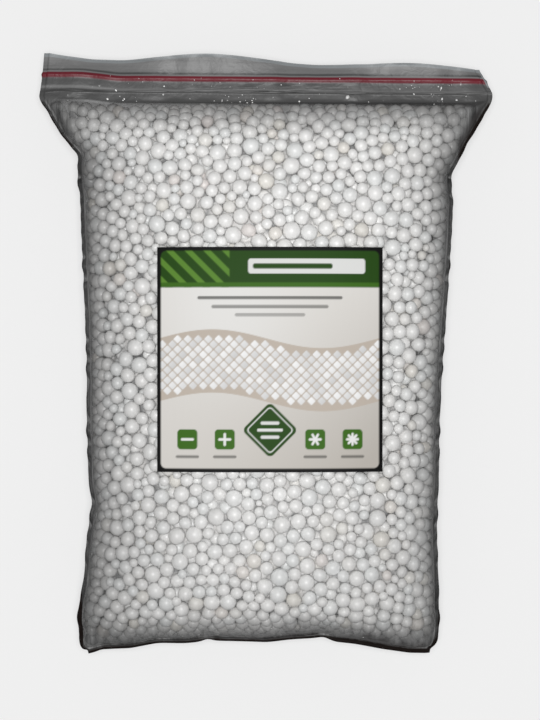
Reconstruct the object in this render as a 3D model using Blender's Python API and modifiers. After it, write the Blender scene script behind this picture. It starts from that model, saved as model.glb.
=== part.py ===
"""A clear zip-lock bag full of white polystyrene beads, with a square label, lying on its back.

Metres, +Z up. X runs across the bag, Y along it with the zip at +Y, and Z through its thickness.
The origin is the middle of the bag's footprint, on the surface that it rests on.

Film, filling and label share one map. A point of the bag is given by u, which runs over the front
or the back from one side seam (-1) to the other (1), by y, and by how far inside the bag's outer
surface it lies.
"""

import math

import bmesh
import bpy
import numpy as np
from mathutils import Vector
from mathutils.geometry import delaunay_2d_cdt

# Bag, as it measures when it is full
HEADER_WIDTH = 0.2005  # the flat width of the bag, which the zip keeps
BAG_LENGTH = 0.2623  # bottom seam to the lips
FILL_DEPTH = 0.070  # thickest place
SHOULDER_WIDTH = 0.1605  # filled part below the shoulders, inside the seam fins
WAIST_WIDTH = 0.1520
FOOT_WIDTH = 0.1560
LEFT_SHOULDER = 0.024  # length of the slanted edge between zip and filled part
RIGHT_SHOULDER = 0.036
FOOT_LEAN = -0.0026  # the foot lies this far to one side
FOOT_BOW = 0.0048  # the filling draws the middle of the bottom seam up by this
CORNER_RADIUS = 0.0045

# Bag, seen from the side
SEAM_HEIGHT = 0.034  # of the side seams above the surface
HEADER_DROOP = 0.006
FOOT_DROOP = 0.005
SHOULDER_ROUND = 0.072  # length over which the depth grows below the zip
FOOT_ROUND = 0.034
FLAT_CUT = 0.003  # what the weight flattens off the underside
ROUND_POWER = 2.2
FRONT_POWER = 2.5  # 2 is an ellipse, more is boxier
BACK_POWER = 3.0
HEADER_POWER = 24.0

# Film and its seams
WALL = 0.00015
FIN = 0.0022  # width of the flat welded edge outside the filled part
FIN_HALF = 0.0002  # half its thickness
COLUMNS = 16  # across the front, and as many across the back
FILLED_ROWS = 23

# Header: distances from the lips
FILLED_FROM_LIP = 0.0187
RIDGE_FROM_LIP = 0.0141
ZIP_FROM_LIP = 0.0083
HEADER_HALF = 0.0018  # half its outside thickness
RIDGE_RISE = 0.0006
RIDGE_WIDTH = 0.0012
LIP_WAVE = 0.0017
LIP_WAVE_LENGTH = 0.097
LIP_CREST_X = -0.027
LIP_SLOPE = 0.025
ZIP_SLOPE = 0.008  # the zip runs down a little to the right

# Zip profile, one strip inside each wall
ZIP_PLATE = 0.00030
RIB_WIDTH = 0.0024
STEM_HALF = 0.00020
HEAD_HALF = 0.00058
HOOK = 0.00010
JAW = 0.00028
ZIP_END_GAP = 0.0025

# Beads
BEAD_PITCH = 0.0067
BACK_PITCH = 0.0134  # the underside is pressed flat, so it needs fewer
BEAD_RISE = 0.0024
BEAD_NUDGE = 0.22  # of the pitch, at random
BEADS_UNDER_FILM = 0.0007  # bead tops below the outer surface
SEED = 7

# Label
LABEL_SIDE = 0.097
LABEL_THICKNESS = 0.00020
LABEL_FROM_LIP = 0.1336  # to its middle
LABEL_OFF_CENTRE = 0.0020
LABEL_BORDER = 0.0012
LABEL_CELLS = 10
FACET_ROOM = 0.00015  # a flat facet's dip below the round surface that it follows

CLEARANCE = 0.0003

LIP_Y = BAG_LENGTH / 2
BOTTOM_Y = -BAG_LENGTH / 2
FILLED_Y = LIP_Y - FILLED_FROM_LIP
RIDGE_Y = LIP_Y - RIDGE_FROM_LIP
ZIP_Y = LIP_Y - ZIP_FROM_LIP
FRONT, BACK = 1, -1


def ease(share):
    """Smooth step from 0 to 1."""
    share = min(max(share, 0.0), 1.0)
    return share * share * (3 - 2 * share)


def rounding(distance, length):
    """Share of the full depth at a distance from a rounded end."""
    left = 1 - min(max(distance / length, 0.0), 1.0)
    return (1 - left**ROUND_POWER) ** (1 / ROUND_POWER)


def half_width(y, shoulder):
    """Half the width between the seam fins, on the side whose shoulder has the given length."""
    shoulder_y = FILLED_Y - shoulder
    waist_y = (shoulder_y + BOTTOM_Y) / 2
    if y > waist_y:
        width = WAIST_WIDTH + (SHOULDER_WIDTH - WAIST_WIDTH) * ease((y - waist_y) / (shoulder_y - waist_y))
    else:
        width = WAIST_WIDTH + (FOOT_WIDTH - WAIST_WIDTH) * ease((waist_y - y) / (waist_y - BOTTOM_Y))
    in_shoulder = min(max((y - shoulder_y) / shoulder, 0.0), 1.0)
    width += (HEADER_WIDTH - 2 * FIN - width) * in_shoulder
    from_corner = max(CORNER_RADIUS - (y - BOTTOM_Y), 0.0) / CORNER_RADIUS
    return width / 2 - CORNER_RADIUS * (1 - math.sqrt(max(1 - from_corner**2, 0.0)))


def seam_height(y):
    """Height of the side seams, which droop towards the lips and the foot."""
    droop = HEADER_DROOP * ease((y - FILLED_Y + SHOULDER_ROUND) / (LIP_Y - FILLED_Y + SHOULDER_ROUND))
    return SEAM_HEIGHT - droop - FOOT_DROOP * ease((BOTTOM_Y + FOOT_ROUND - y) / FOOT_ROUND)


def depth(y, side, inset, closed):
    """Depth of the front or the back from the seams at y. A closed shape tapers to nothing at the zip."""
    full = FILL_DEPTH - SEAM_HEIGHT if side == FRONT else SEAM_HEIGHT + FLAT_CUT
    start = HEADER_HALF - inset if y > 0 and not closed else 0.0
    end = FILLED_Y - inset if closed else FILLED_Y
    share = rounding(y - BOTTOM_Y - inset, FOOT_ROUND) * rounding(end - y, SHOULDER_ROUND)
    return start + (full - inset - start) * share


def lip_weight(y):
    """0 at the zip, 1 at the lips."""
    return ease((y - ZIP_Y) / (LIP_Y - ZIP_Y))


def across(u, half, height, power):
    """Offset and lift of the point at u of a section, which is a superellipse read by its length."""
    turn = np.linspace(0, math.pi / 2, 181)
    offset = half * np.sin(turn) ** (2 / power)
    lift = height * np.cos(turn) ** (2 / power)
    length = np.append(0, np.cumsum(np.hypot(np.diff(offset), np.diff(lift))))
    at = min(abs(u), 1.0) * length[-1]
    return math.copysign(np.interp(at, length, offset), u), float(np.interp(at, length, lift)), length[-1]


def section(u, y, side, inset=0.0, closed=False):
    """Offset, lift and half length of the section at y."""
    half = half_width(y, LEFT_SHOULDER if u < 0 else RIGHT_SHOULDER) - inset
    height = depth(y, side, inset, closed)
    body_power = FRONT_POWER if side == FRONT else BACK_POWER
    in_header = 0 if closed else min(HEADER_HALF / max(height + inset, HEADER_HALF), 1) ** 2
    return across(u, half, height, body_power + (HEADER_POWER - body_power) * in_header)


def bag_point(u, y, side, inset=0.0, closed=False, least=0.0):
    """Where the point (u, y) of the front or the back lies, at a depth inside the bag's outer surface."""
    x, lift, _ = section(u, y, side, inset, closed)
    x += FOOT_LEAN * ease((FILLED_Y - y) / (FILLED_Y - BOTTOM_Y))
    bow = FOOT_BOW * ease((BOTTOM_Y + FOOT_ROUND - y) / FOOT_ROUND)
    bow *= 1 - min(abs(x - FOOT_LEAN) / (FOOT_WIDTH / 2), 1) ** 2
    z = max(seam_height(y) + side * max(lift, least), inset)
    if side == FRONT:
        z += RIDGE_RISE * max(1 - abs(y - RIDGE_Y) / RIDGE_WIDTH * 2, 0.0)
    weight = lip_weight(y)
    wave = LIP_WAVE * math.cos(2 * math.pi * (x - LIP_CREST_X) / LIP_WAVE_LENGTH)
    in_header = ease((y - FILLED_Y) / (RIDGE_Y - FILLED_Y))
    y += weight * (wave - LIP_SLOPE * x) - in_header * ZIP_SLOPE * x + bow
    return Vector((x, y, z + weight * wave))


def even_rows(count, start, end, inset=0.0, closed=False):
    """Values of y at even steps along the front's middle line, which is steep near both ends."""
    y = np.linspace(start, end, 600)
    lift = [depth(value, FRONT, inset, closed) for value in y]
    length = np.append(0, np.cumsum(np.hypot(np.diff(y), np.diff(lift))))
    return np.interp(np.linspace(0, length[-1], count + 1), length, y), length[-1]


def new_object(name, mesh, color, roughness, alpha=1.0):
    """Adds a mesh to the bag's collection, with its own material."""
    obj = bpy.data.objects.new(name, mesh)
    bpy.data.collections["bag_of_beads"].objects.link(obj)
    mesh.materials.clear()
    mesh.materials.append(new_material(name, color, roughness, alpha))
    mesh.shade_smooth()
    mesh.set_sharp_from_angle(angle=math.radians(50))
    return obj


def new_material(name, color, roughness, alpha=1.0):
    material = bpy.data.materials.new(name)
    material.use_nodes = True
    shader = material.node_tree.nodes["Principled BSDF"]
    shader.inputs["Base Color"].default_value = (*color, 1)
    shader.inputs["Roughness"].default_value = roughness
    shader.inputs["Alpha"].default_value = alpha
    return material


def closed_mesh(name, bm):
    """Ends an edit: one skin, with its faces pointing out."""
    bmesh.ops.remove_doubles(bm, verts=bm.verts, dist=1e-6)
    bmesh.ops.recalc_face_normals(bm, faces=bm.faces)
    mesh = bpy.data.meshes.new(name)
    bm.to_mesh(mesh)
    bm.free()
    return mesh


def film_ring(y, inset, least, fin):
    """One ring of points around the bag: front, seam fin, back, seam fin."""
    ends = np.sin(np.linspace(-math.pi / 2, math.pi / 2, COLUMNS + 1))
    steps = (ends + np.linspace(-1, 1, COLUMNS + 1)) / 2
    beside_zip = 1 - ZIP_END_GAP / HEADER_WIDTH
    steps = np.sort([*steps, -beside_zip, beside_zip])
    ring = []
    for side in (FRONT, BACK):
        ring += [bag_point(u, y, side, inset, least=least) for u in steps * side]
        tip = bag_point(side, y, side, inset)
        tip.x += side * fin
        ring.append(tip)
    return ring


def film_skin(inset, least, fin):
    """Rings from the bottom seam to the lips."""
    filled, _ = even_rows(FILLED_ROWS, BOTTOM_Y, FILLED_Y)
    ridge = [RIDGE_Y - RIDGE_WIDTH / 2, RIDGE_Y, RIDGE_Y + RIDGE_WIDTH / 2]
    header = [ZIP_Y - RIB_WIDTH, ZIP_Y + RIB_WIDTH, (ZIP_Y + LIP_Y) / 2, LIP_Y]
    seam = film_ring(BOTTOM_Y + inset, inset, 0.0, fin)
    for point in seam:
        point.y -= fin
    rows = [max(y, BOTTOM_Y + inset) for y in (*filled, *ridge, *header)]
    return [seam] + [film_ring(y, inset, least, fin) for y in rows]


def make_film():
    """The bag itself: front and back in one, closed by the seam fins and open between the lips."""
    bm = bmesh.new()
    skins = [film_skin(0.0, FIN_HALF, FIN), film_skin(WALL, 0.0, 0.0)]
    outer, inner = [[[bm.verts.new(point) for point in ring] for ring in skin] for skin in skins]
    pairs = [*zip(outer, outer[1:]), (outer[-1], inner[-1])]
    pairs += [*zip(inner[::-1], inner[-2::-1])]
    for lower, upper in pairs:
        for here in range(len(lower)):
            after = (here + 1) % len(lower)
            if lower in inner:
                bm.faces.new((lower[here], lower[after], upper[here]))
                bm.faces.new((lower[after], upper[after], upper[here]))
            else:
                bm.faces.new((lower[here], lower[after], upper[after]))
                bm.faces.new((lower[here], upper[after], upper[here]))
    return new_object("bag_film", closed_mesh("bag_film", bm), (0.62, 0.65, 0.67), 0.15, 0.25)


def make_strip(name, outline, color):
    """A zip strip: its profile, drawn in the YZ plane, runs the width of the header inside the fins."""
    length = HEADER_WIDTH - 2 * (FIN + ZIP_END_GAP)
    bm = bmesh.new()
    corners = [bm.verts.new((-length / 2, y, z)) for y, z in outline]
    profile = bm.faces.new(corners)
    run = bmesh.ops.extrude_face_region(bm, geom=[profile])["geom"]
    moved = [item for item in run if isinstance(item, bmesh.types.BMVert)]
    bmesh.ops.translate(bm, verts=moved, vec=(length, 0, 0))
    strip = new_object(name, closed_mesh(name, bm), color, 0.35)
    slope = (seam_height(ZIP_Y + RIB_WIDTH) - seam_height(ZIP_Y - RIB_WIDTH)) / (2 * RIB_WIDTH)
    strip.location = (0, ZIP_Y, seam_height(ZIP_Y))
    strip.rotation_euler = (math.atan(slope), 0, -math.atan(ZIP_SLOPE))
    return strip


def mirrored(half):
    """A profile's whole outline from the points of its +Y half, top to bottom."""
    return half + [(-y, z) for y, z in reversed(half) if y > 0]


def make_zip():
    """The rib hangs from the front wall with its head between the jaws of the groove, on the back wall."""
    top = HEADER_HALF - WALL - CLEARANCE - FACET_ROOM
    stem_top = top - ZIP_PLATE
    head_inner = STEM_HALF + CLEARANCE
    jaw_inner = HEAD_HALF + CLEARANCE
    hook_top = stem_top - CLEARANCE
    hook_bottom = hook_top - HOOK
    head_top = hook_bottom - CLEARANCE
    head_bottom = -top + ZIP_PLATE + CLEARANCE
    rib = [
        (RIB_WIDTH / 2, top),
        (RIB_WIDTH / 2, stem_top),
        (STEM_HALF, stem_top),
        (STEM_HALF, head_top),
        (HEAD_HALF, head_top),
        (STEM_HALF, head_bottom),
    ]
    groove = [
        (head_inner, hook_top),
        (jaw_inner + JAW, hook_top),
        (jaw_inner + JAW, -top + ZIP_PLATE),
        (RIB_WIDTH / 2 + JAW, -top + ZIP_PLATE),
        (RIB_WIDTH / 2 + JAW, -top),
    ]
    inner_half = [(jaw_inner, -top + ZIP_PLATE), (jaw_inner, hook_bottom), (head_inner, hook_bottom)]
    left = [(-y, z) for y, z in groove[::-1]]
    left_inner = [(-y, z) for y, z in inner_half[::-1]]
    make_strip("zip_rib_strip", mirrored(rib), (0.42, 0.02, 0.04))
    make_strip("zip_groove_strip", groove + left + left_inner + inner_half, (0.55, 0.57, 0.58))


def bead_spots(pitch, width, length, rng):
    """Dome centres inside the flat pattern: one in each corner, then staggered rows, nudged at random."""
    rows = round(length / (pitch * math.sin(math.radians(60))))
    half = BEAD_PITCH / 2
    spots = [(x, y) for x in (half - width / 2, width / 2 - half) for y in (half, length - half)]
    for row in range(1, rows):
        count = round(width / pitch)
        for column in range(1, count + row % 2):
            spot = np.array([(column - row % 2 / 2) / count * width - width / 2, row / rows * length])
            spots.append(spot + rng.uniform(-BEAD_NUDGE, BEAD_NUDGE, 2) * pitch)
    return spots


def rim_spots(width, length):
    """Dome centres along the rectangle's four sides, shared by the front and the back."""
    along = np.linspace(0, length, round(length / BEAD_PITCH) + 1)
    over = np.linspace(-width / 2, width / 2, round(width / BEAD_PITCH) + 1)[1:-1]
    sides = [(side * width / 2, y) for y in along for side in (-1, 1)]
    return sides + [(x, y) for x in over for y in (0, length)]


def cells_of(obj):
    """The object's mesh with a cell around each of its points in place of the triangles between them."""
    group = bpy.data.node_groups.new("bead_cells", "GeometryNodeTree")
    for in_out in ("INPUT", "OUTPUT"):
        group.interface.new_socket("Geometry", in_out=in_out, socket_type="NodeSocketGeometry")
    start = group.nodes.new("NodeGroupInput")
    dual = group.nodes.new("GeometryNodeDualMesh")
    end = group.nodes.new("NodeGroupOutput")
    group.links.new(start.outputs[0], dual.inputs[0])
    group.links.new(dual.outputs[0], end.inputs[0])
    obj.modifiers.new("cells", "NODES").node_group = group
    evaluated = obj.evaluated_get(bpy.context.evaluated_depsgraph_get())
    return bpy.data.meshes.new_from_object(evaluated)


def make_filling():
    """The beads, fused into one body: a dome on a cell for each bead that shows, around a plain core."""
    rng = np.random.default_rng(SEED)
    inset = BEADS_UNDER_FILM + BEAD_RISE
    start, end = BOTTOM_Y + inset, FILLED_Y - inset
    _, length = even_rows(1, start, end, inset, True)
    width = HEADER_WIDTH - 2 * FIN
    table, _ = even_rows(200, start, end, inset, True)
    bm = bmesh.new()
    for side, pitch in ((FRONT, BEAD_PITCH), (BACK, BACK_PITCH)):
        spots = [Vector(spot) for spot in rim_spots(width, length) + bead_spots(pitch, width, length, rng)]
        flat, _, faces, *_ = delaunay_2d_cdt(spots, [], [], 0, 1e-7)
        verts = []
        for x, along in flat:
            y = np.interp(round(along / length, 5) * 200, range(201), table)
            verts.append(bm.verts.new(bag_point(round(2 * x / width, 5), y, side, inset, True)))
        for face in faces:
            bm.faces.new([verts[index] for index in face])
    cage = bpy.data.objects.new("cells", closed_mesh("cells", bm))
    bpy.context.scene.collection.objects.link(cage)
    cells = cells_of(cage)
    bpy.data.objects.remove(cage)
    bm = bmesh.new()
    bm.from_mesh(cells)
    bmesh.ops.recalc_face_normals(bm, faces=bm.faces)
    bmesh.ops.poke(bm, faces=bm.faces, offset=BEAD_RISE, center_mode="MEAN")
    return new_object("bead_filling", closed_mesh("bead_filling", bm), (0.86, 0.87, 0.87), 0.6)


def make_label():
    """A square sticker on the front, which follows its curve."""
    middle_y = LIP_Y - LABEL_FROM_LIP
    lift = CLEARANCE + FACET_ROOM
    _, _, half_girth = section(1, middle_y, FRONT)
    bm = bmesh.new()
    cells = {"x_segments": LABEL_CELLS, "y_segments": LABEL_CELLS}
    bmesh.ops.create_grid(bm, **cells, size=LABEL_SIDE / 2)
    border_line = LABEL_SIDE / 2 - LABEL_SIDE / LABEL_CELLS
    for vert in bm.verts:
        for axis in (0, 1):
            if abs(abs(vert.co[axis]) - border_line) < 1e-6:
                vert.co[axis] = math.copysign(LABEL_SIDE / 2 - LABEL_BORDER, vert.co[axis])
        u = (vert.co.x + LABEL_OFF_CENTRE) / half_girth
        vert.co = bag_point(u, middle_y + vert.co.y, FRONT, -lift)
    label = new_object("label", closed_mesh("label", bm), (0.70, 0.70, 0.66), 0.4)
    label.data.materials.append(new_material("label_border", (0.02, 0.02, 0.02), 0.4))
    for face in label.data.polygons:
        corners = [label.data.vertices[index].co for index in face.vertices]
        face.material_index = int(min((a - b).length for a, b in zip(corners, corners[1:])) < 2 * LABEL_BORDER)
    sheet = label.modifiers.new("thickness", "SOLIDIFY")
    sheet.thickness = LABEL_THICKNESS
    sheet.offset = 1
    return label


def centre_on_origin(objects):
    """Moves all pieces together so that the bag's footprint is centred on the origin."""
    bpy.context.view_layer.update()
    corners = np.array([obj.matrix_world @ Vector(corner) for obj in objects for corner in obj.bound_box])
    low, high = corners.min(axis=0), corners.max(axis=0)
    for obj in objects:
        obj.location -= Vector(((low[0] + high[0]) / 2, (low[1] + high[1]) / 2, low[2]))


def main():
    for obj in list(bpy.data.objects):
        bpy.data.objects.remove(obj)
    parts = bpy.data.collections.new("bag_of_beads")
    bpy.context.scene.collection.children.link(parts)
    make_film()
    make_zip()
    make_filling()
    make_label()
    centre_on_origin(list(parts.objects))


main()
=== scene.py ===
import math

import bpy
import numpy as np
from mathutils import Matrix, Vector
from mathutils.bvhtree import BVHTree
from mathutils.kdtree import KDTree


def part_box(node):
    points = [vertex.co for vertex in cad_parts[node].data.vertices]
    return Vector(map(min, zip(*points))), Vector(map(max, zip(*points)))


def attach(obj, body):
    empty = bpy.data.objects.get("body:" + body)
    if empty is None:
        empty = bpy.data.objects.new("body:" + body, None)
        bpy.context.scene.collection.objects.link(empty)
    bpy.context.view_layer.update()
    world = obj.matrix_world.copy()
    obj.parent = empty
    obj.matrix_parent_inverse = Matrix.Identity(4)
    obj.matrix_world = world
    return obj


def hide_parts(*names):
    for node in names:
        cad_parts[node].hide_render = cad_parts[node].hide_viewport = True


# A clear zip-lock bag of polystyrene beads, lying on its back and seen from straight above.
# Metres, +Y towards the zip, +Z out of the labelled front.

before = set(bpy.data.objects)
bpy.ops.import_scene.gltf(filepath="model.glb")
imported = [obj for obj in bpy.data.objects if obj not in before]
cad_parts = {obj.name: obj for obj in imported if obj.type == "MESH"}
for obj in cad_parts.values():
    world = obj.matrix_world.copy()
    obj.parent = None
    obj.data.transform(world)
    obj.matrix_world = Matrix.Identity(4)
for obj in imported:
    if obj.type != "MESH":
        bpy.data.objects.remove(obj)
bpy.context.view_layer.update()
for name in ("Cube", "Camera", "Light"):
    if name in bpy.data.objects:
        bpy.data.objects.remove(bpy.data.objects[name])
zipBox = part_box("zip_rib_strip")
zipY = (zipBox[0][1] + zipBox[1][1]) / 2


def clearSelection():
    if bpy.context.mode != "OBJECT":
        bpy.ops.object.mode_set(mode="OBJECT")
    bpy.ops.object.select_all(action="DESELECT")


def pick(obj):
    clearSelection()
    obj.select_set(True)
    bpy.context.view_layer.objects.active = obj


def applyModifiers(obj):
    pick(obj)
    for modifier in list(obj.modifiers):
        bpy.ops.object.modifier_apply(modifier=modifier.name)


def settle(obj):
    # a finished piece keeps its place in its mesh
    pick(obj)
    bpy.ops.object.transform_apply(location=True, rotation=True, scale=True)


def meshPoints(obj):
    points = np.empty(len(obj.data.vertices) * 3)
    obj.data.vertices.foreach_get("co", points)
    return points.reshape(-1, 3)


def setPoints(obj, points):
    obj.data.vertices.foreach_set("co", np.ascontiguousarray(points, dtype=np.float32).ravel())
    obj.data.update()


def meshNormals(obj):
    normals = np.empty(len(obj.data.vertices) * 3, dtype=np.float32)
    obj.data.vertex_normals.foreach_get("vector", normals)
    return normals.reshape(-1, 3).astype(float)


def addNumbers(obj, name, values):
    attribute = obj.data.attributes.get(name) or obj.data.attributes.new(name, "FLOAT", "POINT")
    attribute.data.foreach_set("value", np.ascontiguousarray(values, dtype=np.float32))


def smoothStep(values, low, high):
    # 0 up to low, 1 from high on, and an even curve between them
    share = np.clip((np.asarray(values, dtype=float) - low) / (high - low), 0, 1)
    return share * share * (3 - 2 * share)


def fade(distance, reach):
    # 1 at the place itself, dying away with the distance from it
    return np.exp(-np.clip(distance, 0, 1) / reach)


def treeOf(points):
    tree = KDTree(len(points))
    for index, point in enumerate(points):
        tree.insert(point, index)
    tree.balance()
    return tree


def zipLine():
    # the slope of the zip, and its height at the middle of the bag
    rib = meshPoints(bpy.data.objects["zip_rib_strip"])
    return np.polyfit(rib[:, 0], rib[:, 1], 1)


# Shader helpers

def newMaterial(name):
    material = bpy.data.materials.new(name)
    material.use_nodes = True
    material.node_tree.nodes.clear()
    return material, material.node_tree.nodes, material.node_tree.links


def addNode(nodes, kind, inputs=None, **settings):
    node = nodes.new(kind)
    for key, value in settings.items():
        setattr(node, key, value)
    for key, value in (inputs or {}).items():
        node.inputs[key].default_value = value
    return node


def colourBand(nodes, stops):
    ramp = nodes.new("ShaderNodeValToRGB")
    while len(ramp.color_ramp.elements) < len(stops):
        ramp.color_ramp.elements.new(0.5)
    for element, (place, colour) in zip(ramp.color_ramp.elements, stops):
        element.position = place
        element.color = (*colour, 1)
    return ramp


def grey(level, warmth=0.0):
    return (level * (1 + warmth), level, level * (1 - warmth))


def feed(links, source, socket):
    # a socket is linked, anything else is a constant
    if isinstance(source, bpy.types.NodeSocket):
        links.new(source, socket)
    else:
        socket.default_value = source


def mixColours(nodes, links, share, first, second, blend="MIX"):
    mix = addNode(nodes, "ShaderNodeMix", data_type="RGBA", blend_type=blend)
    feed(links, share, mix.inputs[0])
    feed(links, first, mix.inputs[6])
    feed(links, second, mix.inputs[7])
    return mix.outputs[2]


def mixShaders(nodes, links, share, first, second):
    mix = nodes.new("ShaderNodeMixShader")
    feed(links, share, mix.inputs[0])
    links.new(first.outputs[0], mix.inputs[1])
    links.new(second.outputs[0], mix.inputs[2])
    return mix


def objectTexture(nodes, links, kind, inputs, stretch=None):
    # a texture on object coordinates, finer along the axes with the larger stretch
    place = nodes.new("ShaderNodeTexCoord").outputs["Object"]
    if stretch:
        mapping = addNode(nodes, "ShaderNodeMapping", {"Scale": stretch})
        links.new(place, mapping.inputs["Vector"])
        place = mapping.outputs[0]
    texture = addNode(nodes, kind, inputs)
    links.new(place, texture.inputs["Vector"])
    return texture


def bumpFrom(nodes, links, height, strength, distance=0.0001):
    bump = addNode(nodes, "ShaderNodeBump", {"Strength": strength, "Distance": distance})
    links.new(height, bump.inputs["Height"])
    return bump.outputs[0]


def matteShader(nodes, links, colour, roughness, shine, normal=None):
    shader = addNode(nodes, "ShaderNodeBsdfPrincipled", {"Roughness": roughness, "Specular IOR Level": shine})
    links.new(colour, shader.inputs["Base Color"])
    if normal:
        links.new(normal, shader.inputs["Normal"])
    return shader


def finishMaterial(nodes, links, shader):
    output = nodes.new("ShaderNodeOutputMaterial")
    links.new(shader.outputs[0], output.inputs["Surface"])


def seenDirectly(nodes, links):
    # 1 for what the camera sees, also through the film
    path = nodes.new("ShaderNodeLightPath")
    seen = addNode(nodes, "ShaderNodeMath", operation="MAXIMUM")
    links.new(path.outputs["Is Camera Ray"], seen.inputs[0])
    links.new(path.outputs["Is Transmission Ray"], seen.inputs[1])
    return seen.outputs[0]


# Camera, lamps and floor

view = {
    "metresPerPixel": 0.0004435,  # at the height of the side seams
    "seamHeight": 0.033,
    "distance": 1.0,  # camera above the surface that the bag lies on
    "imageHeight": 720,
    "sensor": 0.036,
    "shiftX": 0.0020,
    "shiftY": -0.0027,
}


def makeCamera():
    print("camera")
    data = bpy.data.cameras.new("camera")
    camera = bpy.data.objects.new("camera", data)
    bpy.context.scene.collection.objects.link(camera)
    data.sensor_fit = "VERTICAL"
    data.sensor_height = view["sensor"] * 1000
    shown = view["metresPerPixel"] * view["imageHeight"]
    data.lens = view["sensor"] * 1000 * (view["distance"] - view["seamHeight"]) / shown
    data.clip_start = 0.01
    camera.location = (view["shiftX"], view["shiftY"], view["distance"])
    bpy.context.scene.camera = camera


light = {
    "flashHeight": 1.25,
    "flashSize": 0.26,
    "flashPower": 11.0,
    "roomLevel": 0.25,
    "floorSize": 6,
    "floorDrop": 0.0004,
    "floorShown": 0.90,
    "floorBounce": 0.40,
    "floorGlow": 0.55,  # share of the floor's shown colour that doesn't depend on the lamps
}


def makeLight():
    print("light")
    data = bpy.data.lights.new("soft_flash", "AREA")
    data.shape = "DISK"
    data.size = light["flashSize"]
    data.energy = light["flashPower"]
    lamp = bpy.data.objects.new("soft_flash", data)
    lamp.location = (view["shiftX"], view["shiftY"], light["flashHeight"])
    bpy.context.scene.collection.objects.link(lamp)
    world = bpy.data.worlds.new("room")
    bpy.context.scene.world = world
    world.use_nodes = True
    nodes, links = world.node_tree.nodes, world.node_tree.links
    nodes.clear()
    levels = {"To Min": light["roomLevel"], "To Max": light["floorShown"]}
    strength = addNode(nodes, "ShaderNodeMapRange", levels)
    links.new(seenDirectly(nodes, links), strength.inputs["Value"])
    background = addNode(nodes, "ShaderNodeBackground", {"Color": (1, 1, 1, 1)})
    links.new(strength.outputs["Result"], background.inputs["Strength"])
    output = nodes.new("ShaderNodeOutputWorld")
    links.new(background.outputs[0], output.inputs[0])


def makeFloor():
    print("floor")
    clearSelection()
    bpy.ops.mesh.primitive_plane_add(size=light["floorSize"], location=(0, 0, -light["floorDrop"]))
    floor = bpy.context.object
    floor.name = "floor"
    settle(floor)
    material, nodes, links = newMaterial("pale_floor")
    shown = addNode(nodes, "ShaderNodeBsdfDiffuse", {"Color": (*grey(light["floorShown"]), 1)})
    bounced = addNode(nodes, "ShaderNodeBsdfDiffuse", {"Color": (*grey(light["floorBounce"]), 1)})
    glow = addNode(nodes, "ShaderNodeEmission", {"Color": (*grey(light["floorShown"]), 1)})
    evened = mixShaders(nodes, links, light["floorGlow"], shown, glow)
    finishMaterial(nodes, links, mixShaders(nodes, links, seenDirectly(nodes, links), bounced, evened))
    floor.data.materials.append(material)


# The film: the outer skin of the CAD film, made smooth and drawn over the beads

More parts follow.
